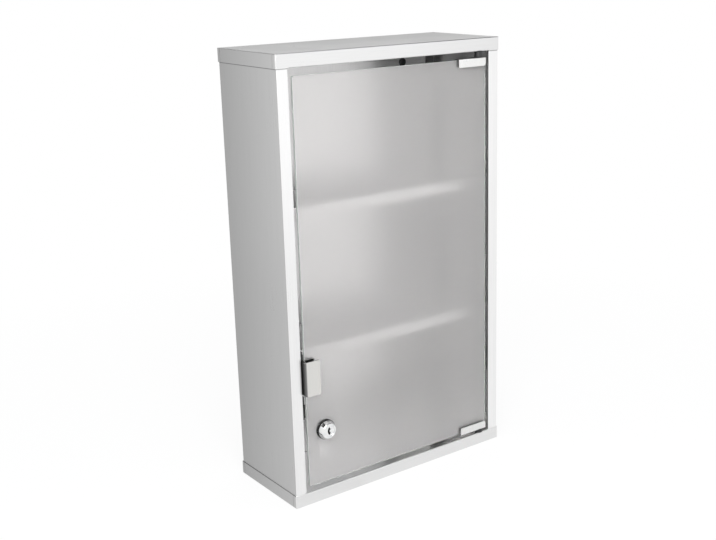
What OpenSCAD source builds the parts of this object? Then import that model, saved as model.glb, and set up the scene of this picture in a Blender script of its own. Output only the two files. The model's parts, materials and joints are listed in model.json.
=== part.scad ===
// Lockable wall medicine cabinet: folded stainless body, two shelves and a frosted glass
// door on pivot hinges, with a clamped pull handle, a magnetic catch and a cam lock.
// Millimetres. +X right, +Y towards the wall, +Z up; origin at the centre of the base.

/* [Cabinet body] */
// Overall width
cab_w = 300; // [240:1:420]
// Overall depth without the lock
cab_d = 120; // [105:1:200]
// Overall height
cab_h = 500; // [440:1:700]
// Thickness of the stainless sheet
sheet_t = 0.8; // [0.6:0.1:1]
// Outside radius of the folds
bend_r = 1.2; // [1.1:0.1:2]

/* [Top and bottom caps] */
// Height of the skirt round each cap
skirt_h = 15; // [12:0.5:20]
// Length of the front skirt's tab round the corner
tab_w = 6; // [4:0.5:12]
// Width of the open seam behind the tab
seam_gap = 0.3; // [0.2:0.1:0.6]
// Depth of the cap's folded return behind its front skirt
cap_return_d = 20; // [12:1:28]

/* [Side panels] */
// Width of the frame face beside the door
stile_w = 15; // [12:0.5:18]
// Depth of the fold behind the frame face, from the front of the cabinet
stile_return_d = 8; // [7:0.5:8.5]
// Width of the rear flange that the back is welded to
rear_flange_w = 14; // [8:1:20]

/* [Wall fixing] */
// Diameter of the four wall holes
wall_hole_d = 7; // [4:0.5:10]
// Distance between the wall holes along the width
wall_hole_span = 200; // [160:1:230]
// Distance of the wall holes from the top and the base
wall_hole_inset = 33; // [24:1:60]

/* [Shelves] */
// Height of the upper shelf's top
upper_shelf_z = 332; // [300:1:380]
// Height of the lower shelf's top
lower_shelf_z = 169; // [165:1:200]
// Depth of the shelves
shelf_d = 81; // [60:1:84]
// Height of the front lip
shelf_lip_h = 14; // [8:1:20]
// Width of the hem under the front lip
shelf_hem_w = 6; // [3:0.5:10]
// Height of the folded end and rear flanges
shelf_flange_h = 12; // [8:1:16]

/* [Door glass] */
// Thickness of the glass
glass_t = 4; // [3:0.5:5]
// Gap at the lock side
gap_left = 5; // [4.5:0.1:7]
// Gap at the hinge side
gap_right = 4; // [3:0.1:6]
// Gap above the glass
gap_top = 8.4; // [7:0.1:12]
// Gap below the glass
gap_bottom = 5.5; // [5:0.1:9]
// How far the glass sits behind the front of the cabinet
glass_recess = 1.6; // [1.3:0.1:1.8]
// Corner radius of the glass
glass_corner_r = 2; // [1:0.5:4]
// Width of the ground arris on each edge
glass_arris = 0.4; // [0.2:0.1:0.8]

/* [Pivot hinges] */
// Length of each hinge clip along the glass edge
clip_w = 40; // [30:1:60]
// Height of the clip on the glass
clip_h = 10; // [9:0.5:14]
// Thickness of the clip's plates
clip_t = 1.5; // [1.2:0.1:2]
// Corner radius at the outer end of the clip
clip_corner_r = 3; // [1:0.5:4]
// Distance from the glass's side edge to the end of the clip
clip_inset = 1.6; // [0.5:0.1:4]
// Distance from the end of the clip to the pivot
pivot_inset = 8; // [6:0.5:12]
// Diameter of the pivot pins
pin_d = 3; // [2.6:0.1:3.2]
// Diameter of the nylon bush
bush_d = 9.6; // [8:0.2:12]
// Diameter of the bush's neck in the cap's return
bush_neck_d = 4.6; // [4.4:0.1:4.8]
// Thickness of the pads between metal and glass
pad_t = 0.6; // [0.4:0.1:0.8]

/* [Handle] */
// Width of the handle plate
handle_w = 18; // [18:1:28]
// Height of the handle plate
handle_h = 40; // [38:1:48]
// Height of the handle's centre above the base
handle_z = 150.6; // [148:0.2:152]
// Front of the handle plate ahead of the cabinet front
handle_reach = 6; // [4:0.5:12]
// How far the handle stands past the glass's edge
handle_overhang = 3.4; // [3:0.1:3.6]
// Corner radius of the handle plate
handle_corner_r = 1.5; // [0.5:0.5:4]

/* [Lock] */
// Distance of the lock's axis from the glass's edge
lock_inset = 24; // [21:0.5:26]
// Height of the lock's axis above the glass's lower edge
lock_rise = 63; // [55:1:70]
// Diameter of the lock's head at the glass
lock_head_d = 21.6; // [20:0.2:24]
// Diameter of the lock's head at its face
lock_rim_d = 17.6; // [17:0.1:19]
// Length of the lock's head in front of its gasket
lock_head_l = 6; // [5:0.2:10]
// Length of the straight part behind the head's taper
lock_skirt_l = 1.4; // [0.6:0.1:2]
// Diameter of the rubber gaskets on both sides of the glass
gasket_d = 23; // [21.4:0.2:25]
// Diameter of the threaded barrel
lock_barrel_d = 15.4; // [15:0.1:16]
// Diameter of the turning plug
lock_plug_d = 11.8; // [11:0.1:12]
// Diameter of the plug's face
lock_face_d = 13.6; // [13:0.1:14]
// Length of the cam from the axis to its tip
cam_l = 37; // [33:0.5:39]
// Width of the cam
cam_w = 14; // [12:0.5:16]
// Thickness of the cam
cam_t = 1.8; // [1.2:0.1:2.4]
// Width of the square on the plug that drives the cam
cam_square_w = 7; // [6:0.2:7.6]
// Height of the keyhole
keyhole_h = 9.4; // [7:0.2:9.8]
// Width of the keyhole
keyhole_w = 4; // [3:0.1:4.4]

/* [Magnetic catch and buffer] */
// Height of the catch's plate
catch_h = 62; // [60:1:66]
// Thickness of the catch's plate
catch_plate_t = 2.2; // [1.6:0.1:2.6]
// Height of the housing that holds the magnet
catch_box_h = 40; // [34:1:42]
// Width of the housing that holds the magnet
catch_box_w = 14; // [13:0.5:14.5]
// Depth of the housing that holds the magnet
catch_box_d = 14; // [12:0.5:18]
// Height of the magnet
magnet_h = 26; // [20:1:28]
// Height of the rubber buffer
buffer_h = 14; // [8:1:16]

/* [Hidden] */
$fn = 48;

// Clearances
run_gap = 0.05;     // radial, between a turning part and its bore
seat_gap = 0.2;     // between parts that slide past or stop on each other
slip_gap = 0.3;     // between parts that only pass
cut = 1;            // how far a cutter runs past the wall it opens

// Faces of the body
half_w = cab_w / 2;
front_y = -cab_d / 2;
back_y = cab_d / 2;
side_x = half_w - sheet_t;
wall_x = side_x - sheet_t;
open_x = half_w - stile_w;
stile_y = front_y + sheet_t;
lip_end_y = front_y + stile_return_d;
flange_y = back_y - 2 * sheet_t;
shelf_back_y = flange_y - bend_r;
open_z0 = skirt_h;
open_z1 = cab_h - skirt_h;
// The caps' corner tabs are folded a little wider, and the panels stop short of the folds
tab_bend_r = bend_r + 0.4;
panel_z0 = bend_r;
panel_z1 = cab_h - bend_r;

// Door glass
glass_x0 = gap_left - open_x;
glass_x1 = open_x - gap_right;
glass_z0 = open_z0 + gap_bottom;
glass_z1 = open_z1 - gap_top;
glass_y0 = front_y + glass_recess;
glass_y1 = glass_y0 + glass_t;

// Clamped metalwork: faces in front of and behind the glass
clamp_y0 = glass_y0 - pad_t;
clamp_y1 = glass_y1 + pad_t;

// Hinge clips and pivots
clip_x1 = glass_x1 - clip_inset;
clip_x0 = clip_x1 - clip_w;
clip_root_gap = 0.3;
clip_bend_r = clip_t + 0.3;
clip_small_r = 0.8;
pad_inset = 1;
pivot_x = clip_x1 - pivot_inset;
pivot_y = (glass_y0 + glass_y1) / 2;
pin_tip = 0.5;
pin_past = 0.6;
bush_snap = 0.25;
bush_snap_l = 0.8;
bush_neck_l = 2.4;
bush_edge = 0.4;

// Grub screws
grub_d = 4;
grub_l = 3;
grub_key_w = 2;
grub_key_d = 1.6;
hinge_grub_inset = 7;
hinge_grub_pitch = 13;
hinge_grub_x = [clip_x0 + hinge_grub_inset, clip_x0 + hinge_grub_inset + hinge_grub_pitch];
clip_grub_z = clip_root_gap + clip_t - (clip_h + clip_t) / 2;

// Handle
handle_x0 = glass_x0 - handle_overhang;
handle_x1 = handle_x0 + handle_w;
handle_y0 = front_y - handle_reach;
handle_y1 = clamp_y1 + clip_t;
handle_spacer_w = 6;
handle_spacer_inset = 3;
handle_grub_inset = 3.2;
handle_grub_span = 24;
handle_grub_x = handle_x1 - handle_grub_inset;
handle_grub_z = [handle_z - handle_grub_span / 2, handle_z + handle_grub_span / 2];

// Lock, along its axis from front to back
lock_x = glass_x0 + lock_inset;
lock_z = glass_z0 + lock_rise;
gasket_t = 0.8;
lock_seat_y = glass_y0 - gasket_t;
lock_face_y = lock_seat_y - lock_head_l;
lock_chamfer = 0.3;
plug_recess = 0.4;
plug_head_l = 2;
glass_hole_d = lock_barrel_d + 2 * slip_gap;
nut_t = 2.4;
nut_w = 20;
nut_chamfer = 0.4;
nut_y0 = glass_y1 + gasket_t;
barrel_past = 0.4;
barrel_z = nut_y0 + nut_t + barrel_past - lock_face_y;
cam_z = barrel_z + slip_gap;
cam_y = lock_face_y + cam_z;
cam_tip_r = 3;
keyhole_depth = 12;
keyhole_ward = 1.5;
cam_screw_d = 4;
cam_screw_l = 6;
cam_screw_head_d = 7.6;
cam_screw_head_t = 2.2;
cross_w = 1.1;
cross_l = 4.4;
cross_d = 1.2;

// Turn stop: a lug on the plug runs in a notch in the end of the barrel
turn_range = 90;
lug_w = 2;
lug_l = 1.5;
lug_r = lock_plug_d / 2 + 1.5;
lug_root = 3;
lug_angle = -90;
notch_margin = asin((lug_w / 2 + slip_gap) / (lock_plug_d / 2));

// Catch and buffer on the left frame face's fold
strike_y = handle_y1;
pole_y = strike_y + slip_gap;
catch_box_y = pole_y + slip_gap;
catch_x0 = -open_x;
catch_z0 = handle_z - catch_h / 2;
catch_edge_y = front_y + 2;
catch_corner_r = 1;
catch_notch_h = handle_h + 2;
catch_screw_d = 2.6;
catch_screw_l = 6;
catch_screw_head_d = 4.8;
catch_screw_head_t = 1.1;
catch_screw_span = catch_h - 10;
catch_screw_y = (catch_edge_y + lip_end_y) / 2;
pole_t = 1.2;
magnet_w = 5;
pole_d = 11;
magnet_recess = 0.6;
magnet_x0 = catch_x0 + (catch_box_w - magnet_w) / 2 + 1;
buffer_space = 3;
buffer_z1 = catch_z0 - buffer_space;
buffer_nose_w = 9;
buffer_nose_d = 3;

// A flat strip of sheet folded square along a path of outside corners.
// Every fold turns left, and the material lies on the left of the path.
module folded_profile(path, t, r) {
  last = len(path) - 1;
  for (i = [0:last - 1]) {
    a = path[i];
    b = path[i + 1];
    d = (b - a) / norm(b - a);
    n = [-d[1], d[0]];
    p = a + d * (i > 0 ? r : 0);
    q = b - d * (i < last - 1 ? r : 0);
    polygon([p, q, q + n * t, p + n * t]);
    if (i < last - 1) {
      c = q + n * r;
      intersection() {
        translate(c) difference() {
          circle(r = r);
          circle(r = r - t);
        }
        polygon([c, c - n * r, c + (d - n) * r, c + d * r]);
      }
    }
  }
}

// A rectangle whose corners can each have a radius: [low-left, low-right, high-right, high-left]
module rounded_rect(x0, y0, x1, y1, r) {
  corners = [[x0, y0, 1, 1], [x1, y0, -1, 1], [x1, y1, -1, -1], [x0, y1, 1, -1]];
  difference() {
    translate([x0, y0]) square([x1 - x0, y1 - y0]);
    for (i = [0:3]) {
      c = corners[i];
      if (r[i] > 0) corner_cut([c[0], c[1]], [c[2], c[3]], r[i]);
    }
  }
}

module corner_cut(p, s, r) {
  difference() {
    polygon([p - s * cut, p + [s[0] * r, -s[1] * cut], p + s * r, p + [-s[0] * cut, s[1] * r]]);
    translate(p + s * r) circle(r = r);
  }
}

// Extrusions along the three axes between two stations
module along_x(x0, x1) {
  translate([x0, 0, 0]) rotate([90, 0, 90]) linear_extrude(x1 - x0) children();
}

module along_y(y0, y1) {
  translate([0, y1, 0]) rotate([90, 0, 0]) linear_extrude(y1 - y0) children();
}

module along_z(z0, z1) {
  translate([0, 0, z0]) linear_extrude(z1 - z0) children();
}

// Puts a shape drawn round the Z axis on the lock's axis, with +Z going into the cabinet.
// There, local +Y is down and local -X is towards the frame.
module on_lock_axis(y) {
  translate([lock_x, y, lock_z]) rotate([-90, 0, 0]) children();
}

// ---- Caps ----

// A block with the folded tray's outline, drawn in from every side by one inset
module cap_block(inset) {
  r = bend_r - inset;
  corner_r = tab_bend_r - inset;
  x = half_w - inset;
  y = back_y - inset;
  z = cab_h - inset;
  low = open_z1 - inset * cut;
  intersection() {
    along_x(-x, x) rounded_rect(-y, low, y, z, [0, 0, r, r]);
    along_y(-y, y) rounded_rect(-x, low, x, z, [0, 0, r, r]);
    along_z(low, z) rounded_rect(-x, -y, x, y, [corner_r, corner_r, corner_r, corner_r]);
  }
}

module cap() {
  return_x = open_x - seat_gap / 2;
  fold_h = bend_r + sheet_t;
  difference() {
    union() {
      difference() {
        cap_block(0);
        cap_block(sheet_t);
        // front skirt's lower edge, where the folded return takes over
        translate([-return_x, front_y - cut, open_z1 - cut])
          cube([2 * return_x, sheet_t + cut, fold_h + cut]);
        // open seam behind each corner tab
        for (s = [-1, 1]) {
          for (y = [front_y + tab_w, back_y - tab_w - seam_gap]) {
            translate([s * (half_w - sheet_t / 2) - sheet_t, y, open_z1 - cut])
              cube([2 * sheet_t, seam_gap, skirt_h + cut - bend_r]);
          }
        }
      }
      along_x(-return_x, return_x) folded_profile(
        [[front_y, open_z1 + fold_h], [front_y, open_z1], [front_y + cap_return_d, open_z1]],
        sheet_t, bend_r
      );
    }
    translate([pivot_x, pivot_y, open_z1 - cut])
      cylinder(d = bush_neck_d, h = sheet_t + 2 * cut);
  }
}

module upside_down() {
  translate([0, 0, cab_h]) mirror([0, 0, 1]) children();
}

module top_cap() {
  color("gainsboro") cap();
}

module bottom_cap() {
  color("gainsboro") upside_down() cap();
}

// ---- Side panels and back ----

module side_panel() {
  difference() {
    along_z(panel_z0, panel_z1) folded_profile(
      [
        [-side_x + rear_flange_w, flange_y], [-side_x, flange_y], [-side_x, stile_y],
        [-open_x, stile_y], [-open_x, lip_end_y]
      ],
      sheet_t, bend_r
    );
    children();
  }
}

module left_side_panel() {
  color("silver") side_panel() catch_screw_holes();
}

module right_side_panel() {
  color("silver") mirror([1, 0, 0]) side_panel();
}

module catch_screw_holes() {
  for (s = [-1, 1]) {
    translate([-open_x - sheet_t - cut, catch_screw_y, handle_z + s * catch_screw_span / 2])
      rotate([0, 90, 0]) cylinder(d = catch_screw_d, h = sheet_t + 2 * cut);
  }
}

module back_panel() {
  edge_x = half_w - tab_bend_r;
  color("silver") difference() {
    translate([-edge_x, flange_y, panel_z0]) cube([2 * edge_x, sheet_t, panel_z1 - panel_z0]);
    for (x = wall_hole_span / 2 * [-1, 1]) {
      for (z = [wall_hole_inset, cab_h - wall_hole_inset]) {
        translate([x, back_y + cut, z])
          rotate([90, 0, 0]) cylinder(d = wall_hole_d, h = 3 * sheet_t + 2 * cut);
      }
    }
  }
}

// ---- Shelves ----

module shelf(top_z) {
  shelf_y0 = shelf_back_y - shelf_d;
  path = [
    [shelf_back_y, top_z - shelf_flange_h], [shelf_back_y, top_z], [shelf_y0, top_z],
    [shelf_y0, top_z - shelf_lip_h], [shelf_y0 + shelf_hem_w, top_z - shelf_lip_h]
  ];
  union() {
    along_x(-wall_x, wall_x) folded_profile(path, sheet_t, bend_r);
    for (s = [0, 1]) {
      mirror([s, 0, 0]) translate([
        wall_x - sheet_t, shelf_y0 + sheet_t, top_z - shelf_flange_h
      ]) cube([sheet_t, shelf_d - 2 * sheet_t, shelf_flange_h - sheet_t / 2]);
    }
  }
}

module upper_shelf() {
  color("lightgray") shelf(upper_shelf_z);
}

module lower_shelf() {
  color("lightgray") shelf(lower_shelf_z);
}

// ---- Pivot hinges ----

// Places a shape drawn from the glass's edge, with +Z towards the cap
module at_top_edge() {
  translate([0, 0, glass_z1]) children();
}

module at_bottom_edge() {
  translate([0, 0, glass_z0]) mirror([0, 0, 1]) children();
}

module pivot_bush(gap) {
  base_z = clip_root_gap + clip_t + seat_gap;
  neck_z = gap + sheet_t;
  bore_r = pin_d / 2 + run_gap;
  neck_r = bush_neck_d / 2;
  translate([pivot_x, pivot_y, 0]) rotate_extrude() polygon([
    [bore_r, base_z],
    [bush_d / 2 - bush_edge, base_z],
    [bush_d / 2, base_z + bush_edge],
    [bush_d / 2, gap],
    [neck_r, gap],
    [neck_r, neck_z],
    [neck_r + bush_snap, neck_z],
    [neck_r + bush_snap, neck_z + bush_snap_l],
    [neck_r - bush_snap, neck_z + bush_neck_l],
    [bore_r, neck_z + bush_neck_l]
  ]);
}

module hinge_clip() {
  top = clip_root_gap + clip_t;
  low = top - clip_h;
  front = clamp_y0 - clip_t;
  back = clamp_y1 + clip_t;
  difference() {
    intersection() {
      along_x(clip_x0, clip_x1) folded_profile(
        [[back, low], [back, top], [front, top], [front, low]], clip_t, clip_bend_r
      );
      along_y(front - cut, back + cut) rounded_rect(
        clip_x0, low, clip_x1, top, [clip_small_r, clip_corner_r, clip_small_r, clip_small_r]
      );
    }
    translate([pivot_x, pivot_y, 0]) cylinder(d = pin_d, h = top + cut);
    for (x = hinge_grub_x) grub_at(x, clamp_y1 - cut, clip_grub_z, clip_t + 2 * cut);
  }
}

module grub_at(x, y, z, l) {
  translate([x, y, z]) rotate([-90, 0, 0]) cylinder(d = grub_d, h = l);
}

module grub_screw(x, z) {
  difference() {
    grub_at(x, clamp_y1, z, grub_l);
    translate([x, clamp_y1 + grub_l - grub_key_d, z]) rotate([-90, 0, 0])
      cylinder(d = grub_key_w / cos(30), h = grub_key_d + cut, $fn = 6);
  }
}

module clamp_pads(x0, z0, x1, z1) {
  for (y = [glass_y0 - pad_t, glass_y1]) {
    translate([x0, y, z0]) cube([x1 - x0, pad_t, z1 - z0]);
  }
}

module hinge_pads() {
  low = clip_root_gap + clip_t - clip_h;
  clamp_pads(clip_x0 + pad_inset, low + pad_inset, clip_x1 - pad_inset, -glass_arris);
}

module pivot_pin(gap) {
  tip_z = gap + sheet_t + bush_neck_l + pin_past;
  translate([pivot_x, pivot_y, 0]) rotate_extrude() polygon([
    [0, clip_root_gap], [pin_d / 2, clip_root_gap], [pin_d / 2, tip_z - pin_tip],
    [pin_d / 2 - pin_tip, tip_z], [0, tip_z]
  ]);
}

module upper_pivot_bush() {
  color("#1b1b1c") at_top_edge() pivot_bush(gap_top);
}

module lower_pivot_bush() {
  color("#1b1b1c") at_bottom_edge() pivot_bush(gap_bottom);
}

module upper_hinge_clip() {
  color("whitesmoke") at_top_edge() hinge_clip();
}

module lower_hinge_clip() {
  color("whitesmoke") at_bottom_edge() hinge_clip();
}

module upper_hinge_pads() {
  color("dimgray") at_top_edge() hinge_pads();
}

module lower_hinge_pads() {
  color("dimgray") at_bottom_edge() hinge_pads();
}

module hinge_grub_screws() {
  color("#3a3a3c") for (x = hinge_grub_x) {
    at_top_edge() grub_screw(x, clip_grub_z);
    at_bottom_edge() grub_screw(x, clip_grub_z);
  }
}

module upper_pivot_pin() {
  color("darkgray") at_top_edge() pivot_pin(gap_top);
}

module lower_pivot_pin() {
  color("darkgray") at_bottom_edge() pivot_pin(gap_bottom);
}

// ---- Door glass ----

module arrissed_rect(x0, y0, x1, y1) {
  a = glass_arris;
  polygon([
    [x0 + a, y0], [x1 - a, y0], [x1, y0 + a], [x1, y1 - a],
    [x1 - a, y1], [x0 + a, y1], [x0, y1 - a], [x0, y0 + a]
  ]);
}

module door_glass() {
  r = glass_corner_r;
  color("#c9d2d0", 0.6) difference() {
    intersection() {
      along_z(glass_z0, glass_z1) arrissed_rect(glass_x0, glass_y0, glass_x1, glass_y1);
      along_x(glass_x0, glass_x1) arrissed_rect(glass_y0, glass_z0, glass_y1, glass_z1);
      along_y(glass_y0, glass_y1)
        rounded_rect(glass_x0, glass_z0, glass_x1, glass_z1, [r, r, r, r]);
    }
    on_lock_axis(glass_y0 - cut) cylinder(d = glass_hole_d, h = glass_t + 2 * cut);
  }
}

// ---- Handle ----

module handle_clip() {
  r = handle_corner_r;
  z0 = handle_z - handle_h / 2;
  z1 = handle_z + handle_h / 2;
  color("whitesmoke") difference() {
    intersection() {
      along_z(z0, z1) folded_profile(
        [
          [handle_x1, handle_y1], [handle_x0, handle_y1],
          [handle_x0, handle_y0], [handle_x1, handle_y0]
        ],
        clip_t, clip_bend_r
      );
      along_y(handle_y0, handle_y1) rounded_rect(handle_x0, z0, handle_x1, z1, [r, r, r, r]);
    }
    for (z = handle_grub_z) grub_at(handle_grub_x, clamp_y1 - cut, z, clip_t + 2 * cut);
  }
}

module handle_pads() {
  half_h = handle_h / 2 - pad_inset;
  spacer_half_h = handle_h / 2 - handle_spacer_inset;
  x1 = handle_x1 - pad_inset;
  pad_x0 = glass_x0 + glass_arris;
  color("#1b1b1c") {
    // thick spacer that stands the plate off the glass
    translate([pad_x0, handle_y0 + clip_t, handle_z - spacer_half_h])
      cube([handle_spacer_w, glass_y0 - handle_y0 - clip_t, 2 * spacer_half_h]);
    translate([pad_x0, glass_y1, handle_z - half_h]) cube([x1 - pad_x0, pad_t, 2 * half_h]);
  }
}

module handle_grub_screws() {
  color("#3a3a3c") for (z = handle_grub_z) grub_screw(handle_grub_x, z);
}

// ---- Lock ----
// Each piece is drawn from the lock's face, with +Z into the cabinet.

module lock_housing() {
  face_r = lock_face_d / 2 + run_gap;
  bore_r = lock_plug_d / 2 + run_gap;
  step_z = plug_recess + plug_head_l + seat_gap;
  color("gainsboro") on_lock_axis(lock_face_y) difference() {
    rotate_extrude() polygon([
      [face_r, 0],
      [lock_rim_d / 2 - lock_chamfer, 0],
      [lock_rim_d / 2, lock_chamfer],
      [lock_head_d / 2, lock_head_l - lock_skirt_l],
      [lock_head_d / 2, lock_head_l],
      [lock_barrel_d / 2, lock_head_l],
      [lock_barrel_d / 2, barrel_z],
      [bore_r, barrel_z],
      [bore_r, step_z],
      [face_r, step_z]
    ]);
    translate([0, 0, barrel_z - lug_l - slip_gap]) linear_extrude(lug_l + slip_gap + cut)
      stop_sector(lock_barrel_d);
  }
}

// The sector that the lug sweeps, out to a radius past the barrel
module stop_sector(r) {
  start = lug_angle - notch_margin;
  sweep = turn_range + 2 * notch_margin;
  polygon([
    [0, 0],
    for (i = [0:2]) r * [cos(start + sweep * i / 2), sin(start + sweep * i / 2)]
  ]);
}

module keyhole() {
  r = (pow(keyhole_h, 2) + pow(keyhole_w, 2)) / (4 * keyhole_w);
  difference() {
    intersection_for (s = [-1, 1]) translate([s * (r - keyhole_w / 2), 0]) circle(r = r);
    translate([keyhole_w / 2 - keyhole_ward, -keyhole_ward])
      square([keyhole_ward + cut, 2 * keyhole_ward]);
  }
}

module lock_plug() {
  shank_z = plug_recess + plug_head_l;
  color("white") on_lock_axis(lock_face_y) difference() {
    union() {
      translate([0, 0, plug_recess]) cylinder(d = lock_face_d, h = plug_head_l);
      translate([0, 0, shank_z]) cylinder(d = lock_plug_d, h = cam_z - shank_z);
      translate([-cam_square_w / 2, -cam_square_w / 2, cam_z - sheet_t])
        cube([cam_square_w, cam_square_w, cam_t + sheet_t - run_gap]);
      rotate([0, 0, lug_angle]) translate([lug_r - lug_root, -lug_w / 2, barrel_z - lug_l])
        cube([lug_root, lug_w, lug_l]);
    }
    translate([0, 0, -cut]) linear_extrude(keyhole_depth + cut) keyhole();
    translate([0, 0, cam_z + cam_t - cam_screw_l]) cylinder(d = cam_screw_d, h = cam_screw_l + cut);
  }
}

module lock_cam() {
  r = cam_tip_r;
  hole_w = cam_square_w + 2 * run_gap;
  color("silver") on_lock_axis(cam_y) linear_extrude(cam_t) difference() {
    union() {
      circle(d = cam_w);
      rounded_rect(-cam_w / 2, 0, cam_w / 2, cam_l, [0, 0, r, r]);
    }
    square(hole_w, center = true);
  }
}

module cam_screw() {
  r = cam_screw_head_d / 2;
  t = cam_screw_head_t;
  color("darkgray") on_lock_axis(cam_y + cam_t) difference() {
    union() {
      translate([0, 0, -cam_screw_l]) cylinder(d = cam_screw_d, h = cam_screw_l);
      rotate_extrude() polygon([[0, 0], [r, 0], [r, t / 2], [r - t / 2, t], [0, t]]);
    }
    for (a = [0, 90]) rotate([0, 0, a]) translate([-cross_l / 2, -cross_w / 2, t - cross_d])
      cube([cross_l, cross_w, cross_d + cut]);
  }
}

module lock_nut() {
  color("silver") on_lock_axis(nut_y0) difference() {
    intersection() {
      cylinder(d = nut_w / cos(30), h = nut_t, $fn = 6);
      rotate_extrude() polygon([
        [0, 0], [nut_w / 2 + nut_chamfer, 0], [nut_w / cos(30) / 2, nut_chamfer],
        [nut_w / cos(30) / 2, nut_t - nut_chamfer], [nut_w / 2 + nut_chamfer, nut_t], [0, nut_t]
      ]);
    }
    translate([0, 0, -cut]) cylinder(d = lock_barrel_d, h = nut_t + 2 * cut);
  }
}

module gasket(y) {
  on_lock_axis(y) difference() {
    cylinder(d = gasket_d, h = gasket_t);
    translate([0, 0, -cut]) cylinder(d = lock_barrel_d, h = gasket_t + 2 * cut);
  }
}

module lock_gaskets() {
  color("#1b1b1c") {
    for (y = [lock_seat_y, glass_y1]) gasket(y);
  }
}

// ---- Magnetic catch and buffer ----

module catch_screw_axis() {
  for (s = [-1, 1]) {
    translate([catch_x0 + catch_plate_t, catch_screw_y, handle_z + s * catch_screw_span / 2])
      rotate([0, -90, 0]) children();
  }
}

module catch_housing() {
  r = catch_corner_r;
  box_z0 = handle_z - catch_box_h / 2;
  back = catch_box_y + catch_box_d;
  color("#1b1b1c") difference() {
    union() {
      along_x(catch_x0, catch_x0 + catch_plate_t)
        rounded_rect(catch_edge_y, catch_z0, back, catch_z0 + catch_h, [r, r, r, r]);
      along_y(catch_box_y, back) rounded_rect(
        catch_x0, box_z0, catch_x0 + catch_box_w, box_z0 + catch_box_h, [0, r, r, 0]
      );
    }
    // room for the handle's fold
    translate([catch_x0 - cut, front_y, handle_z - catch_notch_h / 2])
      cube([catch_plate_t + 2 * cut, catch_box_y - front_y, catch_notch_h]);
    catch_screw_axis() translate([0, 0, -cut]) cylinder(d = catch_screw_d, h = catch_plate_t + 2 * cut);
    catch_screw_axis() cylinder(d1 = catch_screw_head_d, d2 = catch_screw_d, h = catch_screw_head_t);
    translate([magnet_x0 - pole_t, catch_box_y - cut, handle_z - magnet_h / 2])
      cube([magnet_w + 2 * pole_t, pole_y + pole_d - catch_box_y + cut, magnet_h]);
  }
}

module catch_magnet() {
  color("#2b2b2d") translate([magnet_x0, pole_y + magnet_recess, handle_z - magnet_h / 2])
    cube([magnet_w, pole_d - magnet_recess, magnet_h]);
}

module catch_pole_plates() {
  color("darkgray") for (x = [magnet_x0 - pole_t, magnet_x0 + magnet_w]) {
    translate([x, pole_y, handle_z - magnet_h / 2]) cube([pole_t, pole_d, magnet_h]);
  }
}

module catch_screws() {
  color("silver") catch_screw_axis() union() {
    cylinder(d = catch_screw_d, h = catch_screw_l);
    cylinder(d1 = catch_screw_head_d, d2 = catch_screw_d, h = catch_screw_head_t);
  }
}

module door_buffer() {
  nose_y = glass_y1 + slip_gap;
  nose_back = nose_y + buffer_nose_d;
  r = catch_corner_r;
  color("#1b1b1c") along_z(buffer_z1 - buffer_h, buffer_z1) union() {
    rounded_rect(catch_x0, catch_edge_y, catch_x0 + catch_plate_t, nose_back, [0, r, 0, 0]);
    rounded_rect(catch_x0, nose_y, catch_x0 + buffer_nose_w, nose_back, [0, r, r, 0]);
  }
}

top_cap();
bottom_cap();
left_side_panel();
right_side_panel();
back_panel();
upper_shelf();
lower_shelf();
upper_pivot_bush();
lower_pivot_bush();
catch_housing();
catch_magnet();
catch_pole_plates();
catch_screws();
door_buffer();
door_glass();
upper_hinge_clip();
lower_hinge_clip();
upper_hinge_pads();
lower_hinge_pads();
hinge_grub_screws();
upper_pivot_pin();
lower_pivot_pin();
handle_clip();
handle_pads();
handle_grub_screws();
lock_housing();
lock_gaskets();
lock_nut();
lock_plug();
lock_cam();
cam_screw();
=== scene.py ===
import json
import math

import bmesh
import bpy
from mathutils import Matrix, Quaternion, Vector


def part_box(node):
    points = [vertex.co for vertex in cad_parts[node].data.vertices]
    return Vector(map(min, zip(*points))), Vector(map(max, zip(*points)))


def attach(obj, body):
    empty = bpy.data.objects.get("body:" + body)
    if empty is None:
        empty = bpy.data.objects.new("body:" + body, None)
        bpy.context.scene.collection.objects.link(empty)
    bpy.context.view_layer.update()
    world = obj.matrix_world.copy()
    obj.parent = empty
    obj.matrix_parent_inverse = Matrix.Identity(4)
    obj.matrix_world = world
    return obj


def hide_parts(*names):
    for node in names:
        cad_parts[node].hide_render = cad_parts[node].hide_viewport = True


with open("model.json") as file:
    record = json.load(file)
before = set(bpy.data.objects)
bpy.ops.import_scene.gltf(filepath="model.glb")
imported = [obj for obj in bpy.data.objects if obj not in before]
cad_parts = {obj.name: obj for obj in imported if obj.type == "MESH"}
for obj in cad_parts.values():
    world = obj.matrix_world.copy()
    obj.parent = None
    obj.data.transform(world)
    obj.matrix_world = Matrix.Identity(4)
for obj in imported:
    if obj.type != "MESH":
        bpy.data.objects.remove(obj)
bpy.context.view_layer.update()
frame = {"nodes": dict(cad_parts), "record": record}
cad = frame["nodes"]

# ---- Camera ----
# It stands where a camera fitted to the cabinet's seven visible corners stands, a little above
# and to the left, and looks with the fitted lens in a frame of 716 by 540 pixels.
image_size = (716, 540)
focal_px = 1114.5
axis_px = (403.9, 258.0)
camera_place = (-0.7316, -1.0271, 0.5947)
camera_heading, camera_drop, camera_roll = 37.35, 15.31, 1.08

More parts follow.
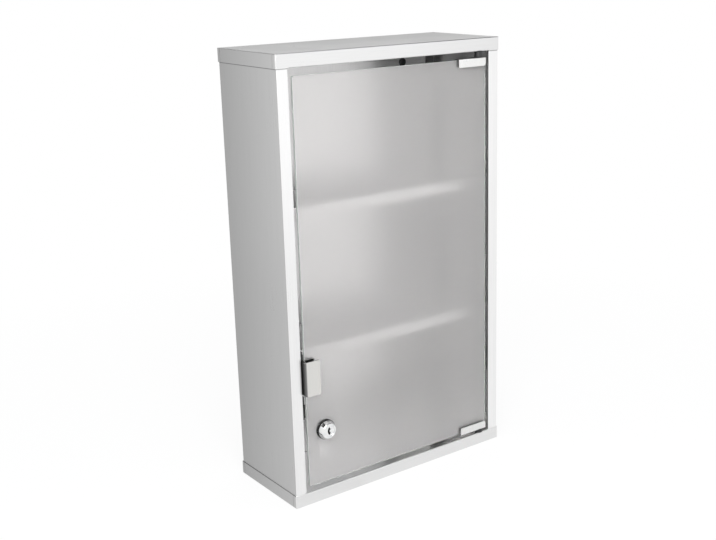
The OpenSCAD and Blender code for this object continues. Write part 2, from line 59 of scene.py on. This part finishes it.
camera = bpy.data.objects.new("camera", bpy.data.cameras.new("camera"))
camera.data.sensor_width = 36
camera.data.lens = camera.data.sensor_width * focal_px / image_size[0]
camera.data.shift_x = (image_size[0] / 2 - axis_px[0]) / image_size[0]
camera.data.shift_y = (axis_px[1] - image_size[1] / 2) / image_size[0]
camera.data.clip_start = 0.05
camera.location = camera_place
camera.rotation_mode = "QUATERNION"
camera.rotation_quaternion = (
    Quaternion((0, 0, 1), math.radians(-camera_heading))
    @ Quaternion((1, 0, 0), math.radians(90 - camera_drop))
    @ Quaternion((0, 0, 1), math.radians(-camera_roll))
)
bpy.context.scene.collection.objects.link(camera)
bpy.context.scene.camera = camera
bpy.context.scene.view_settings.view_transform = "Standard"


# ---- Studio ----
# A white sweep of paper in a white room, lit softly from all round and by large softboxes. Only
# the ceiling is unlit, and bright metal mirrors it as the dark accents on folds and chrome.
def srgb(code):
    """An sRGB hex colour as linear RGBA."""
    parts = [int(code[i:i + 2], 16) / 255 for i in (1, 3, 5)]
    return [c / 12.92 if c <= 0.04045 else ((c + 0.055) / 1.055) ** 2.4 for c in parts] + [1]


def add(tree, kind, inputs=None, **settings):
    """Adds a shader node, with its settings, and feeds its inputs with values or other outputs."""
    made = tree.nodes.new("ShaderNode" + kind)
    for name, value in settings.items():
        setattr(made, name, value)
    for name, value in (inputs or {}).items():
        if isinstance(value, bpy.types.NodeSocket):
            tree.links.new(value, made.inputs[name])
        else:
            made.inputs[name].default_value = value
    return made


def seen_directly(tree):
    """1 for camera, mirror and see-through rays, and 0 for the rays that only carry light."""
    rays = add(tree, "LightPath").outputs
    mirrored = add(tree, "Math", {0: rays["Is Camera Ray"], 1: rays["Is Glossy Ray"]},
                   operation="MAXIMUM")
    return add(tree, "Math", {0: mirrored.outputs[0], 1: rays["Is Transmission Ray"]},
               operation="MAXIMUM").outputs[0]


def stage_plane(name, side, height, look):
    """A level square of the studio, centred over the origin at a height."""
    shape = bmesh.new()
    bmesh.ops.create_grid(shape, x_segments=1, y_segments=1, size=side / 2)
    bmesh.ops.translate(shape, verts=shape.verts, vec=(0, 0, height))
    data = bpy.data.meshes.new(name)
    shape.to_mesh(data)
    shape.free()
    data.materials.append(look)
    made = bpy.data.objects.new(name, data)
    bpy.context.scene.collection.objects.link(made)
    return made


def softbox(name, place, target, size, watts, colour):
    """A rectangular area lamp at a place, turned to a target; the camera doesn't see it."""
    lamp = bpy.data.lights.new(name, "AREA")
    lamp.shape = "RECTANGLE"
    lamp.size, lamp.size_y = size
    lamp.energy = watts
    lamp.color = srgb(colour)[:3]
    made = bpy.data.objects.new(name, lamp)
    made.location = place
    made.rotation_euler = (Vector(target) - Vector(place)).to_track_quat("-Z", "Y").to_euler()
    made.visible_camera = False
    bpy.context.scene.collection.objects.link(made)


room = bpy.data.worlds.new("white_room")
room.use_nodes = True
room.node_tree.nodes.clear()
tree = room.node_tree
backdrop = add(tree, "Background", {"Color": srgb("#FFFFFF"), "Strength": 1.0})
room_light = add(tree, "Background", {"Color": srgb("#F4F6F8"), "Strength": 0.9})
mixed = add(tree, "MixShader", {0: seen_directly(tree), 1: room_light.outputs[0],
                                2: backdrop.outputs[0]})
add(tree, "OutputWorld", {"Surface": mixed.outputs[0]})
bpy.context.scene.world = room

# White seamless paper: matt, and so evenly lit further off that it runs into the backdrop
shadow_reach = 0.9
paper = bpy.data.materials.new("white_seamless_paper")
paper.use_nodes = True
paper.node_tree.nodes.clear()
tree = paper.node_tree
place = add(tree, "TexCoord").outputs["Object"]
reach = add(tree, "Mapping", {"Vector": place, "Scale": [1 / shadow_reach] * 3})
near = add(tree, "TexGradient", {"Vector": reach.outputs[0]}, gradient_type="SPHERICAL")
glow_share = add(tree, "MapRange", {"Value": near.outputs["Fac"], "To Min": 1.0, "To Max": 0.85})
lit = add(tree, "BsdfDiffuse", {"Color": srgb("#DCDCDC")})
glow = add(tree, "Emission", {"Color": srgb("#FFFFFF"), "Strength": 1.0})
shown = add(tree, "MixShader", {0: glow_share.outputs[0], 1: lit.outputs[0], 2: glow.outputs[0]})
mixed = add(tree, "MixShader", {0: seen_directly(tree), 1: lit.outputs[0], 2: shown.outputs[0]})
add(tree, "OutputMaterial", {"Surface": mixed.outputs[0]})
stage_plane("floor", side=30.0, height=0.0, look=paper)

# Matt black ceiling paint, which only mirrors show
ceiling_paint = bpy.data.materials.new("matt_black_paint")
ceiling_paint.use_nodes = True
paint = ceiling_paint.node_tree.nodes["Principled BSDF"].inputs
paint["Base Color"].default_value = srgb("#101010")
paint["Roughness"].default_value = 0.9
ceiling = stage_plane("ceiling", side=4.0, height=1.8, look=ceiling_paint)
ceiling.visible_camera = False
ceiling.visible_diffuse = False
ceiling.visible_transmission = False
ceiling.visible_shadow = False

# The key stands high at the left, off the front's mirror direction, and four weak ones fill in.
# Each has its place, its target, its size in metres, its watts and its colour.
softbox("key_softbox", (-0.7, -1.0, 1.1), (0, -0.06, 0.25), (0.9, 0.9), 24, "#FFFEFC")
softbox("front_softbox", (0.45, -1.2, 0.4), (0, -0.06, 0.3), (1.0, 1.0), 0.65, "#FFFFFF")
softbox("left_softbox", (-0.9, 0.6, 0.35), (-0.15, 0, 0.2), (0.6, 0.8), 0.4, "#FFFFFF")
softbox("right_softbox", (0.85, -1.1, 1.2), (0, -0.06, 0.3), (0.8, 0.8), 1.5, "#F8FAFF")
softbox("top_softbox", (0.1, -0.1, 1.4), (0, 0, 0.3), (1.0, 1.0), 2.5, "#FFFFFF")


# ---- Top and bottom caps ----
# Trays of 0.8 mm stainless sheet, folded all round and closed by a tab at each corner. They cap
# the side panels above and below, and their front folds turn in behind the door.
mm = 0.001


def material(name, *nodes):
    """A new material's node tree and its shader, put on the named CAD nodes."""
    made = bpy.data.materials.new(name)
    made.use_nodes = True
    tree = made.node_tree
    tree.nodes.clear()
    shader = add(tree, "BsdfPrincipled")
    add(tree, "OutputMaterial", {"Surface": shader.outputs[0]})
    for node in nodes:
        cad[node].material_slots[0].material = made
    return tree, shader


def stainless(name, nodes, grain, painted_front_light, painted_front_y, inner_painted_light, inner_rough):
    """Stainless sheet with belt grinding outside, painted lighter from back to front and lighter
    still in front of a depth for the light that falls on the front, with a painted shadow line
    under the top cap's lower edge, and inside painted a colour of its own for the light and shade
    there, with a roughness of its own. grain is a brush line's size in X, Y and Z, in metres."""
    # outside colours: painted darker at the back and lighter at the front for the light falling
    # from the front
    outside_shaded_back, outside_lit_front = "#9F9F9F", "#B8B8B8"
    tree, shader = material(name, *nodes)
    place = add(tree, "TexCoord").outputs["Object"]
    shader.inputs["Metallic"].default_value = 1.0

    # the cabinet's outer faces, found by their distance from its middle
    middle = add(tree, "VectorMath", {0: place, 1: (0, 0, middle_z)}, operation="SUBTRACT")
    away = add(tree, "VectorMath", {0: middle.outputs[0]}, operation="ABSOLUTE")
    past = add(tree, "VectorMath", {0: away.outputs[0], 1: outer_shell}, operation="SUBTRACT")
    axis = add(tree, "SeparateXYZ", {0: past.outputs[0]}).outputs
    most = add(tree, "Math", {0: axis[0], 1: axis[1]}, operation="MAXIMUM")
    most = add(tree, "Math", {0: most.outputs[0], 1: axis[2]}, operation="MAXIMUM")
    outside = add(tree, "Math", {0: most.outputs[0], 1: 0.0}, operation="GREATER_THAN").outputs[0]
    depth = add(tree, "SeparateXYZ", {0: place}).outputs["Y"]
    # the front faces, which are painted a lighter colour for the light they catch
    front = add(tree, "Math", {0: depth, 1: painted_front_y}, operation="LESS_THAN").outputs[0]

    # brush lines, drawn 1 mm wide where real ones are 0.1 mm, and hand-sized smudges
    lines = add(tree, "Mapping", {"Vector": place, "Scale": [1 / size for size in grain]})
    lines = add(tree, "TexNoise", {"Vector": lines.outputs[0], "Scale": 1.0, "Detail": 4.0})
    lines = lines.outputs["Fac"]
    smudges = add(tree, "TexNoise", {"Vector": place, "Scale": 1 / (45 * mm), "Detail": 3.0})
    smudges = smudges.outputs["Fac"]

    # painted lighter towards the front fold for the light that falls there, and a painted shadow
    # line along the seam under the top cap
    forward = add(tree, "MapRange", {"Value": depth, "From Min": -front_y, "From Max": front_y})
    outside_painted_gradient = add(tree, "Mix", {0: forward.outputs[0], 6: srgb(outside_shaded_back), 7: srgb(outside_lit_front)},
                 data_type="RGBA")
    colour = add(tree, "Mix", {0: outside, 6: srgb(inner_painted_light), 7: outside_painted_gradient.outputs[2]}, data_type="RGBA")
    colour = add(tree, "Mix", {0: front, 6: colour.outputs[2], 7: srgb(painted_front_light)}, data_type="RGBA")
    shade = add(tree, "MapRange", {"Value": lines, "From Min": 0.3, "From Max": 0.7,
                                   "To Min": 0.955, "To Max": 1.0})
    height = add(tree, "SeparateXYZ", {0: place}).outputs["Z"]
    # a painted shadow line just below the top cap's lower edge
    below = add(tree, "Math", {0: seam_z, 1: height}, operation="SUBTRACT").outputs[0]
    seam_shadow = add(tree, "MapRange", {"Value": below, "From Min": 0.6 * mm, "From Max": 1.2 * mm,
                                  "To Min": 0.4, "To Max": 1.0})
    above = add(tree, "Math", {0: height, 1: seam_z + 0.01 * mm}, operation="GREATER_THAN")
    seam_shadow = add(tree, "Math", {0: seam_shadow.outputs[0], 1: above.outputs[0]}, operation="MAXIMUM")
    shade = add(tree, "Math", {0: shade.outputs[0], 1: seam_shadow.outputs[0]}, operation="MULTIPLY")
    colour = add(tree, "VectorMath", {0: colour.outputs[2], "Scale": shade.outputs[0]},
                 operation="SCALE")
    tree.links.new(colour.outputs[0], shader.inputs["Base Color"])

    # handling streaks the outside more than the inside
    rough = add(tree, "Mix", {0: outside, 2: inner_rough, 3: 0.3})
    worn = add(tree, "Mix", {0: outside, 2: 0.2, 3: 1.0})
    streaks = add(tree, "Math", {0: lines, 1: 0.06, 2: -0.08}, operation="MULTIPLY_ADD")
    hazy = add(tree, "Math", {0: smudges, 1: 0.1, 2: streaks.outputs[0]}, operation="MULTIPLY_ADD")
    rough = add(tree, "Math", {0: hazy.outputs[0], 1: worn.outputs[0], 2: rough.outputs[0]},
                operation="MULTIPLY_ADD")
    tree.links.new(rough.outputs[0], shader.inputs["Roughness"])
    strength = add(tree, "Mix", {0: outside, 2: 0.01, 3: 0.1}).outputs[0]
    bump = add(tree, "Bump", {"Height": lines, "Strength": strength, "Distance": 0.02 * mm})
    tree.links.new(bump.outputs[0], shader.inputs["Normal"])
    return tree, shader, place, colour.outputs[0], bump


sheet_t = 0.8 * mm
cap_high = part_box("top_cap")[1]
middle_z = cap_high[2] / 2
seam_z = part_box("top_cap")[0][2]
# half the sizes of a box just inside the outer sheets: whatever is past it is outside
shell_inset = 1.5 * sheet_t
outer_shell = (cap_high[0] - shell_inset, cap_high[1] - shell_inset, middle_z - sheet_t / 2)
front_y = -outer_shell[1]
# Ground along the cabinet's width: streaks run from side to side
# the front folds are painted pale for the light on the front, and the inner faces a grey of their
# own for the light inside
stainless("width_brushed_stainless", ["top_cap", "bottom_cap"], grain=(50 * mm, 1 * mm, 1 * mm),
          painted_front_light="#E4E4E4", painted_front_y=front_y, inner_painted_light="#C8C8C8", inner_rough=0.12)

# ---- Side panels ----
# Stainless sheet folded forwards into the frame beside the door and back into the flanges that
# hold the back panel. Ground along their height on both faces: fine upright streaks.
upright_grain = (1 * mm, 1 * mm, 70 * mm)
# outside painted lighter towards the front, front folds painted near white for their lit faces,
# inner faces painted dark grey for the shade inside the cabinet
stainless("height_brushed_stainless", ["left_side_panel", "right_side_panel"], grain=upright_grain,
          painted_front_light="#F1F1F1", painted_front_y=front_y, inner_painted_light="#868686", inner_rough=0.25)

# ---- Back panel ----
# A flat stainless sheet, spot welded to the side panels' rear flanges. Each weld leaves a shallow
# dimple with a straw-coloured heat mark on both faces.
# the inner face is painted near white for the light that reaches it through the glass
tree, shader, place, sheet_colour, brushed = stainless(
    "spot_welded_stainless", ["back_panel"], grain=upright_grain,
    painted_front_light="#F1F1F1", painted_front_y=front_y, inner_painted_light="#F8F8F8", inner_rough=0.28
)
flange_w = 14 * mm
weld_pitch = 60 * mm
weld_r = 2.6 * mm
weld_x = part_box("right_side_panel")[1][0] - flange_w / 2
axis = add(tree, "SeparateXYZ", {0: place}).outputs
sideways = add(tree, "Math", {0: axis["X"]}, operation="ABSOLUTE")
off_line = add(tree, "Math", {0: sideways.outputs[0], 1: weld_x}, operation="SUBTRACT")
half_step = add(tree, "Math", {0: axis["Z"], 1: weld_pitch / 2}, operation="ADD")
off_row = add(tree, "Math", {0: half_step.outputs[0], 1: weld_pitch / 2}, operation="PINGPONG")
off_weld = add(tree, "CombineXYZ", {"X": off_line.outputs[0], "Z": off_row.outputs[0]})
radius = add(tree, "VectorMath", {0: off_weld.outputs[0]}, operation="LENGTH").outputs["Value"]
heat = add(tree, "MapRange", {"Value": radius, "From Min": weld_r, "From Max": 2 * weld_r,
                              "To Min": 0.5, "To Max": 0.0}, interpolation_type="SMOOTHSTEP")
tinted = add(tree, "Mix", {0: heat.outputs[0], 6: sheet_colour, 7: srgb("#9C8A66")},
             data_type="RGBA")
tree.links.new(tinted.outputs[2], shader.inputs["Base Color"])
dimple = add(tree, "MapRange", {"Value": radius, "From Min": 0.8 * weld_r, "From Max": weld_r},
             interpolation_type="SMOOTHSTEP")
pressed = add(tree, "Bump", {"Height": dimple.outputs[0], "Strength": 0.6, "Distance": 0.15 * mm,
                             "Normal": brushed.outputs[0]})
tree.links.new(pressed.outputs[0], shader.inputs["Normal"])


# ---- Wall hole plugs ----
# A black push-in plug in each of the four wall holes, moulded in polyethylene: a low dome on the
# inside, and a hollow stem behind the sheet that springs open. They come out for wall fixing.
def mottled(tree, shader, dark, light, grain, rough, relief):
    """Colours a surface between two shades in grains of one size, in metres, with a range of
    roughness and with relief of one height, in metres."""
    place = add(tree, "TexCoord").outputs["Object"]
    grains = add(tree, "TexNoise", {"Vector": place, "Scale": 1 / grain, "Detail": 3.0})
    grains = grains.outputs["Fac"]
    patches = add(tree, "TexNoise", {"Vector": place, "Scale": 1 / (12 * grain), "Detail": 2.0})
    both = add(tree, "Math", {0: grains, 1: patches.outputs["Fac"]}, operation="ADD")
    least, most = 0.7, 1.3  # the two noises together seldom leave this range
    spread = add(tree, "MapRange", {"Value": both.outputs[0], "From Min": least, "From Max": most})
    colour = add(tree, "Mix", {0: spread.outputs[0], 6: srgb(dark), 7: srgb(light)},
                 data_type="RGBA")
    tree.links.new(colour.outputs[2], shader.inputs["Base Color"])
    rough = add(tree, "MapRange", {"Value": both.outputs[0], "From Min": least, "From Max": most,
                                   "To Min": rough[0], "To Max": rough[1]})
    tree.links.new(rough.outputs[0], shader.inputs["Roughness"])
    bump = add(tree, "Bump", {"Height": grains, "Strength": 0.5, "Distance": relief})
    tree.links.new(bump.outputs[0], shader.inputs["Normal"])


def turned(shape, profile, place, steps=48):
    """Adds a turned form to a bmesh: a profile of (radius, depth) in metres, spun round the Y
    axis through a place."""
    points = [shape.verts.new(Vector(place) + Vector((r, y, 0))) for r, y in profile]
    line = [shape.edges.new(pair) for pair in zip(points, points[1:])]
    bmesh.ops.spin(shape, geom=points + line, cent=place, axis=(0, 1, 0), angle=2 * math.pi,
                   steps=steps, use_merge=True)


def finished(name, shape, body, look, sharp=35):
    """Makes a piece of a bmesh: merged, with its faces outwards and edges past an angle sharp, in a
    material, riding on a body."""
    bmesh.ops.remove_doubles(shape, verts=shape.verts, dist=0.001 * mm)
    bmesh.ops.recalc_face_normals(shape, faces=shape.faces)
    for face in shape.faces:
        face.smooth = True
    for edge in shape.edges:
        edge.smooth = edge.calc_face_angle(math.pi) < math.radians(sharp)
    data = bpy.data.meshes.new(name)
    shape.to_mesh(data)
    shape.free()
    data.materials.append(look)
    made = bpy.data.objects.new(name, data)
    bpy.context.scene.collection.objects.link(made)
    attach(made, body)
    return made


wall_holes = next(m for m in frame["record"]["mounts"] if m["name"] == "wall_holes")
hole_x = wall_holes["dims"]["spacing_x_mm"] / 2 * mm
hole_z = wall_holes["dims"]["spacing_y_mm"] / 2 * mm
hole_r = wall_holes["dims"]["hole_r_mm"] * mm
inner_face_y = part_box("back_panel")[0][1]
dome = [(0, -1.5 * mm), (2.4 * mm, -1.4 * mm), (4.4 * mm, -0.9 * mm), (5.2 * mm, -0.3 * mm),
        (5.2 * mm, 0)]
stem = [(hole_r - 0.1 * mm, 0), (hole_r - 0.1 * mm, 0.9 * mm), (hole_r, 1.0 * mm),
        (hole_r - 0.5 * mm, 1.5 * mm), (hole_r - 1.3 * mm, 1.5 * mm), (hole_r - 1.5 * mm, 0.4 * mm),
        (0, 0.4 * mm)]
shape = bmesh.new()
for x in (-hole_x, hole_x):
    for z in (-hole_z, hole_z):
        turned(shape, dome + stem, (x, inner_face_y, wall_holes["pos_m"][2] + z))
tree, shader = material("moulded_polyethylene")
# Softly waxy black, a little worn
mottled(tree, shader, "#151516", "#222224", grain=0.5 * mm, rough=(0.35, 0.5), relief=0.01 * mm)
finished("wall_hole_plugs", shape, "cabinet",
         bpy.data.materials["moulded_polyethylene"])

# ---- Shelves ----
# Stainless sheet with a hemmed front lip and folded flanges, spot welded to the sides and back.
# Left as the mill sent them: smooth and a little milky, with the front lips painted white for the
# light they catch through the glass and the rest painted grey for the shade inside.
lip_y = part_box("upper_shelf")[0][1] + sheet_t
stainless("mill_finish_stainless", ["upper_shelf", "lower_shelf"], grain=(50 * mm, 1 * mm, 1 * mm),
          painted_front_light="#FFFFFF", painted_front_y=lip_y, inner_painted_light="#C4C4C4", inner_rough=0.55)

# ---- Pivot bushes ----
# Black nylon bushes, moulded with a collar and a snap-in neck, pressed into the caps' returns.
# Plain nylon: dense black with a faint satin sheen.
tree, shader = material("moulded_nylon", "upper_pivot_bush", "lower_pivot_bush")
mottled(tree, shader, "#161617", "#242426", grain=0.4 * mm, rough=(0.32, 0.46), relief=0.01 * mm)

# ---- Magnetic catch ----
# A moulded ABS housing screwed to the left frame fold, holding a ferrite bar between two zinc
# plated pole plates, which grip the handle's rear leg when the door is shut.
tree, shader = material("spark_textured_abs", "catch_housing")
# Fine spark-eroded mould texture, grains drawn 0.5 mm wide so that they show
mottled(tree, shader, "#19191A", "#29292B", grain=0.5 * mm, rough=(0.42, 0.6), relief=0.03 * mm)

tree, shader = material("sintered_ferrite", "catch_magnet")
# Ground grey-black ceramic, dull and slightly pitted
mottled(tree, shader, "#242427", "#37373B", grain=0.35 * mm, rough=(0.55, 0.8), relief=0.03 * mm)


def zinc_plated(name, *nodes):
    """Barrel plated mild steel: pale blue-grey, in soft cloudy patches, with fine scratches."""
    tree, shader = material(name, *nodes)
    shader.inputs["Metallic"].default_value = 1.0
    mottled(tree, shader, "#CDD1D5", "#ECECEA", grain=0.6 * mm, rough=(0.35, 0.55),
            relief=0.006 * mm)
    return bpy.data.materials[name]


zinc_plated("zinc_plated_strip", "catch_pole_plates")

# ---- Catch screws ----
# Two countersunk sheet metal screws with a cross recess, headed and rolled from wire and zinc
# plated. They hold the catch housing to the frame fold, one above its box and one below.
screw_look = zinc_plated("zinc_plated_wire", "catch_screws")
screw_low, screw_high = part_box("catch_screws")
head_r, head_t = 2.4 * mm, 1.1 * mm
shank_r, recess_w, recess_l, recess_t = 1.3 * mm, 0.7 * mm, 2.6 * mm, 0.7 * mm
shape = bmesh.new()
for z in (screw_low[2] + head_r, screw_high[2] - head_r):
    screw = bmesh.new()
    bmesh.ops.create_circle(screw, cap_ends=True, segments=32, radius=head_r)
    for side in (-1, 1):
        for normal in ((1, 0, 0), (0, 1, 0)):
            for offset in (recess_w / 2, recess_l / 2):
                bmesh.ops.bisect_plane(screw, geom=screw.verts[:] + screw.edges[:] + screw.faces[:],
                                       plane_co=Vector(normal) * side * offset, plane_no=normal)
    rim = [e for e in screw.edges if e.is_boundary]
    cross = [f for f in screw.faces
             if min(abs(f.calc_center_median().x), abs(f.calc_center_median().y)) < recess_w / 2
             and max(abs(f.calc_center_median().x), abs(f.calc_center_median().y)) < recess_l / 2]
    sunk = bmesh.ops.extrude_face_region(screw, geom=cross)["geom"]
    floor_verts = [v for v in sunk if isinstance(v, bmesh.types.BMVert)]
    bmesh.ops.delete(screw, geom=cross, context="FACES")
    bmesh.ops.scale(screw, vec=(0.55, 0.55, 1), verts=floor_verts)
    bmesh.ops.translate(screw, vec=(0, 0, -recess_t), verts=floor_verts)
    for radius, depth in ((shank_r / head_r, head_t), (1.0, screw_high[0] - screw_low[0] - head_t)):
        made = bmesh.ops.extrude_edge_only(screw, edges=rim)["geom"]
        rim = [e for e in made if isinstance(e, bmesh.types.BMEdge)]
        ring = [v for v in made if isinstance(v, bmesh.types.BMVert)]
        bmesh.ops.scale(screw, vec=(radius, radius, 1), verts=ring)
        bmesh.ops.translate(screw, vec=(0, 0, -depth), verts=ring)
    bmesh.ops.contextual_create(screw, geom=rim)
    seat = Matrix.Translation((screw_high[0], (screw_low[1] + screw_high[1]) / 2, z))
    seat = seat @ Matrix.Rotation(math.pi / 2, 4, "Y")
    bmesh.ops.transform(screw, matrix=seat, verts=screw.verts)
    part = bpy.data.meshes.new("screw")
    screw.to_mesh(part)
    screw.free()
    shape.from_mesh(part)
    bpy.data.meshes.remove(part)
screws = finished("cross_recess_screws", shape, "cabinet", screw_look)
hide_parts("catch_screws")

# ---- Door buffer ----
# A moulded rubber stop, stuck to the left frame fold under the catch. The closing glass lands on
# its nose. Matt black with a faint grey bloom.
tree, shader = material("moulded_rubber", "door_buffer")
mottled(tree, shader, "#161616", "#2B2B2B", grain=0.5 * mm, rough=(0.7, 0.9), relief=0.02 * mm)

# ---- Door glass ----
# Clear float glass, 4 mm thick, etched on its back face so that it only hints at what is inside,
# with ground edges. The front stays smooth, and the etched face scatters a milky light.
tree, shader = material("back_etched_glass", "door_glass")
place = add(tree, "TexCoord").outputs["Object"]
depth = add(tree, "SeparateXYZ", {0: place}).outputs["Y"]
glass_front_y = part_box("door_glass")[0][1]
etched = add(tree, "Math", {0: depth, 1: glass_front_y + 0.1 * mm}, operation="GREATER_THAN")
etched = etched.outputs[0]
# the ground edges, where iron in the glass shows green
facing = add(tree, "TexCoord").outputs["Normal"]
edgewise = add(tree, "SeparateXYZ", {0: facing}).outputs["Y"]
edgewise = add(tree, "Math", {0: edgewise}, operation="ABSOLUTE")
edge = add(tree, "Math", {0: edgewise.outputs[0], 1: 0.5}, operation="LESS_THAN").outputs[0]
# etch grains, drawn 0.8 mm wide where real ones are 0.05 mm
grains = add(tree, "TexNoise", {"Vector": place, "Scale": 1 / (0.8 * mm), "Detail": 3.0})
grains = grains.outputs["Fac"]
smooth_rough, etched_rough = 0.04, 0.31
smooth_clear, etched_clear = 1.0, 0.63
matt = add(tree, "Math", {0: etched, 1: edge}, operation="MAXIMUM")
rough = add(tree, "Mix", {0: matt.outputs[0], 2: smooth_rough, 3: etched_rough})
rough = add(tree, "Math", {0: grains, 1: 0.06, 2: rough.outputs[0]}, operation="MULTIPLY_ADD")
tree.links.new(rough.outputs[0], shader.inputs["Roughness"])
clear = add(tree, "Mix", {0: etched, 2: smooth_clear, 3: etched_clear})
tree.links.new(clear.outputs[0], shader.inputs["Transmission Weight"])
tint = add(tree, "MapRange", {"Value": grains, "From Min": 0.3, "From Max": 0.7,
                              "To Min": 0.97, "To Max": 1.0})
hue = add(tree, "Mix", {0: edge, 6: srgb("#FFFEFE"), 7: srgb("#BCC3C0")}, data_type="RGBA")
colour = add(tree, "VectorMath", {0: hue.outputs[2], "Scale": tint.outputs[0]}, operation="SCALE")
tree.links.new(colour.outputs[0], shader.inputs["Base Color"])
shader.inputs["IOR"].default_value = 1.52


# ---- Pivot hinges ----
# Stainless clips folded over the glass's edge and clamped by two grub screws on grey pads. The
# steel pivot pin stands in each clip and turns in its bush.
def softened(node, width):
    """Rounds a CAD node's sharp edges a little, as tumbling or a mould does, without touching
    its mesh."""
    weld = cad[node].modifiers.new("weld", "WELD")
    weld.merge_threshold = 0.001 * mm
    bevel = cad[node].modifiers.new("soft_edges", "BEVEL")
    bevel.width = width
    bevel.segments = 2
    bevel.limit_method = "ANGLE"
    bevel.angle_limit = math.radians(40)
    bevel.harden_normals = True


def polished_clip(name, node, plate):
    """Stainless strip, mirror polished on its front plate only: the folds and the rear leg keep the
    rougher skin of the rolling mill and are painted dark grey for the shade that falls on them."""
    tree, shader = material(name, node)
    shader.inputs["Metallic"].default_value = 1.0
    place = add(tree, "TexCoord").outputs["Object"]
    depth = add(tree, "SeparateXYZ", {0: place}).outputs["Y"]
    plate_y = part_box(node)[0][1]
    # the folds and rear leg, painted dark grey for the shade they sit in
    dull_shaded = add(tree, "MapRange", {"Value": depth, "From Min": plate_y + 0.1 * mm,
                                  "From Max": plate_y + 0.5 * mm}).outputs[0]
    # hairlines of the polishing wheel, drawn 0.8 mm wide
    hairline = (0.8 * mm, 0.8 * mm, 14 * mm)
    lines = add(tree, "Mapping", {"Vector": place, "Scale": [1 / size for size in hairline]})
    lines = add(tree, "TexNoise", {"Vector": lines.outputs[0], "Scale": 1.0, "Detail": 3.0})
    lines = lines.outputs["Fac"]
    colour = add(tree, "Mix", {0: dull_shaded, 6: srgb(plate), 7: srgb("#7C7C7C")}, data_type="RGBA")
    shade = add(tree, "MapRange", {"Value": lines, "From Min": 0.3, "From Max": 0.7,
                                   "To Min": 0.96, "To Max": 1.0})
    colour = add(tree, "VectorMath", {0: colour.outputs[2], "Scale": shade.outputs[0]},
                 operation="SCALE")
    tree.links.new(colour.outputs[0], shader.inputs["Base Color"])
    rough = add(tree, "Mix", {0: dull_shaded, 2: 0.14, 3: 0.4})
    rough = add(tree, "Math", {0: lines, 1: 0.08, 2: rough.outputs[0]}, operation="MULTIPLY_ADD")
    tree.links.new(rough.outputs[0], shader.inputs["Roughness"])
    bump = add(tree, "Bump", {"Height": lines, "Strength": 0.06, "Distance": 0.02 * mm})
    tree.links.new(bump.outputs[0], shader.inputs["Normal"])
    softened(node, 0.15 * mm)


# Both clips are the same polished steel: the lower clip's plate is painted a little darker, as
# painted shade.
polished_clip("polished_stainless_upper_clip", "upper_hinge_clip", "#EDEDEC")
polished_clip("polished_stainless_lower_clip", "lower_hinge_clip", "#E5E5E4")

tree, shader = material("cut_pvc_pad", "upper_hinge_pads", "lower_hinge_pads")
# Plain grey PVC, knife cut from sheet
mottled(tree, shader, "#5E5E5E", "#757573", grain=0.6 * mm, rough=(0.6, 0.75), relief=0.01 * mm)

zinc_plated("zinc_plated_pin", "upper_pivot_pin", "lower_pivot_pin")

tree, shader = material("black_oxide_steel", "hinge_grub_screws", "handle_grub_screws")
# Oiled black oxide: nearly black, with a brown cast where it thins
mottled(tree, shader, "#151516", "#2A2724", grain=0.3 * mm, rough=(0.3, 0.45), relief=0.005 * mm)
shader.inputs["Metallic"].default_value = 0.6

# ---- Handle ----
# A folded stainless pull clamped over the glass's edge by two grub screws at its back, with a
# thick rubber spacer in front of the glass and a thin pad behind it.
# its web and folds are painted dark grey as the shade between the plate and the glass
polished_clip("polished_stainless_handle", "handle_clip", "#DBDAD7")
tree, shader = material("cut_rubber_sheet", "handle_pads")
# Matt dark grey rubber, knife cut from sheet
mottled(tree, shader, "#3C3C3C", "#505050", grain=0.6 * mm, rough=(0.65, 0.85), relief=0.02 * mm)

# ---- Cam lock ----
# A die-cast housing with a tapered head, clamped through the glass by a thin hexagonal nut on
# rubber gaskets. The plug turns in it and carries the cam that catches behind the frame fold.
lock_z = (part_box("lock_nut")[0][2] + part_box("lock_nut")[1][2]) / 2
tree, shader = material("bright_chrome_plate", "lock_housing", "lock_plug")
# Mirror bright over polished zinc, with the faint waviness of a buffed casting
shader.inputs["Metallic"].default_value = 1.0
mottled(tree, shader, "#E2E3E4", "#F0F0F0", grain=1.2 * mm, rough=(0.05, 0.12), relief=0.004 * mm)
# the keyhole's walls are painted near black for the shade deep in the keyway, with a brown cast of
# oiled brass
plug_low, plug_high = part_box("lock_plug")
axis_x = (plug_low[0] + plug_high[0]) / 2
keyway_r = 5 * mm
bright = shader.inputs["Base Color"].links[0].from_socket
place = add(tree, "TexCoord").outputs["Object"]
axis = add(tree, "SeparateXYZ", {0: place}).outputs
deep = add(tree, "Math", {0: axis["Y"], 1: plug_low[1] + 0.3 * mm}, operation="GREATER_THAN")
off_axis = add(tree, "VectorMath", {0: place, 1: (axis_x, 0, lock_z)}, operation="SUBTRACT")
off_axis = add(tree, "VectorMath", {0: off_axis.outputs[0], 1: (1, 0, 1)}, operation="MULTIPLY")
radius = add(tree, "VectorMath", {0: off_axis.outputs[0]}, operation="LENGTH").outputs["Value"]
within = add(tree, "Math", {0: radius, 1: keyway_r}, operation="LESS_THAN")
keyway_shade = add(tree, "Math", {0: deep.outputs[0], 1: within.outputs[0]}, operation="MULTIPLY")
plate = add(tree, "Mix", {0: keyway_shade.outputs[0], 6: bright, 7: srgb("#1E1A12")}, data_type="RGBA")
tree.links.new(plate.outputs[2], shader.inputs["Base Color"])

tree, shader = material("moulded_gasket_rubber", "lock_gaskets")
# Soft matt black
mottled(tree, shader, "#141414", "#262626", grain=0.5 * mm, rough=(0.7, 0.9), relief=0.01 * mm)

zinc_plated("zinc_plated_fittings", "lock_nut", "cam_screw")
tree, shader = material("bright_zinc_cam", "lock_cam")
# Barrel plated and left unpassivated: whiter than the screws
shader.inputs["Metallic"].default_value = 1.0
mottled(tree, shader, "#F2F3F3", "#FFFFFF", grain=0.8 * mm, rough=(0.5, 0.65), relief=0.006 * mm)
